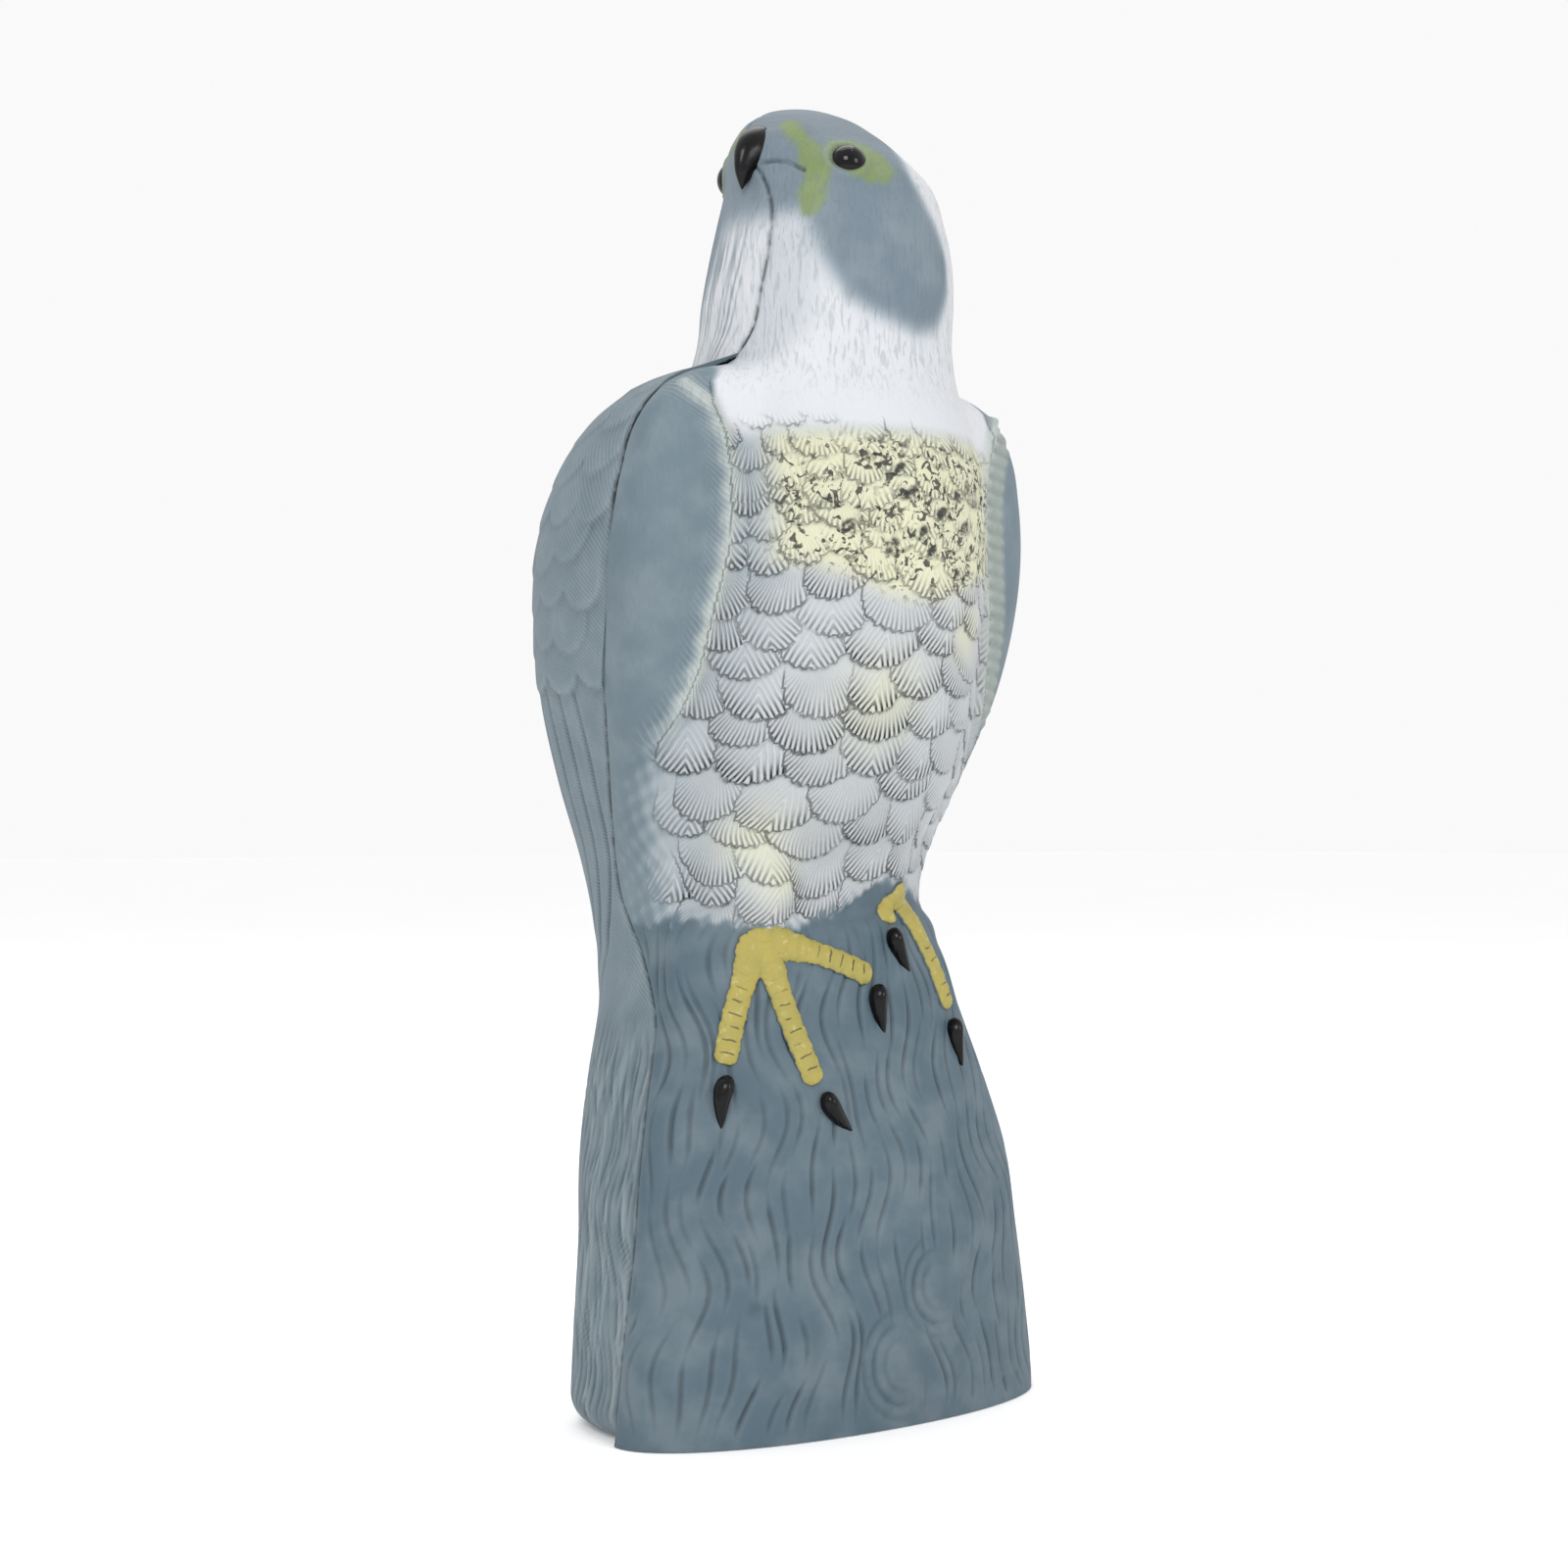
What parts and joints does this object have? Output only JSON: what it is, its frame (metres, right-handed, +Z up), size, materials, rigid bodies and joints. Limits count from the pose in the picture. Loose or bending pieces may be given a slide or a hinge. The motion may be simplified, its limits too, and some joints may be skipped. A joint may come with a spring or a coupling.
{
  "type": "perched falcon decoy",
  "caption": "Hollow moulded falcon decoy with folded wings, perched on a tapered stump, with inset glossy eyes, beak and claws and a push-in filler plug under the base.",
  "frame": {"origin": "centre of the base footprint, on the surface the decoy stands on", "axes": "+Z up, -Y the way the bird's breast faces, -X the bird's own right side"},
  "size_m": [0.1574, 0.1463, 0.41],
  "materials": {
    "painted_shell": "matte sprayed paint over moulded plastic",
    "gloss_black": "glossy",
    "retainer_plastic": "natural, satin",
    "plug_plastic": "satin"
  },
  "bodies": {
    "decoy": {"front_shell": "painted_shell", "rear_shell": "painted_shell", "beak_tip": "gloss_black", "left_eye": "gloss_black", "right_eye": "gloss_black", "left_eye_retainer": "retainer_plastic", "right_eye_retainer": "retainer_plastic", "right_outer_claw": "gloss_black", "right_middle_claw": "gloss_black", "right_inner_claw": "gloss_black", "left_inner_claw": "gloss_black", "left_middle_claw": "gloss_black"},
    "plug": {"filler_plug": "plug_plastic"}
  },
  "joints": [
    {"name": "filler_plug_pull", "type": "slide", "parent": "decoy", "child": "plug", "axis": [0, 0, -1], "range_m": [0, 0.03]}
  ]
}
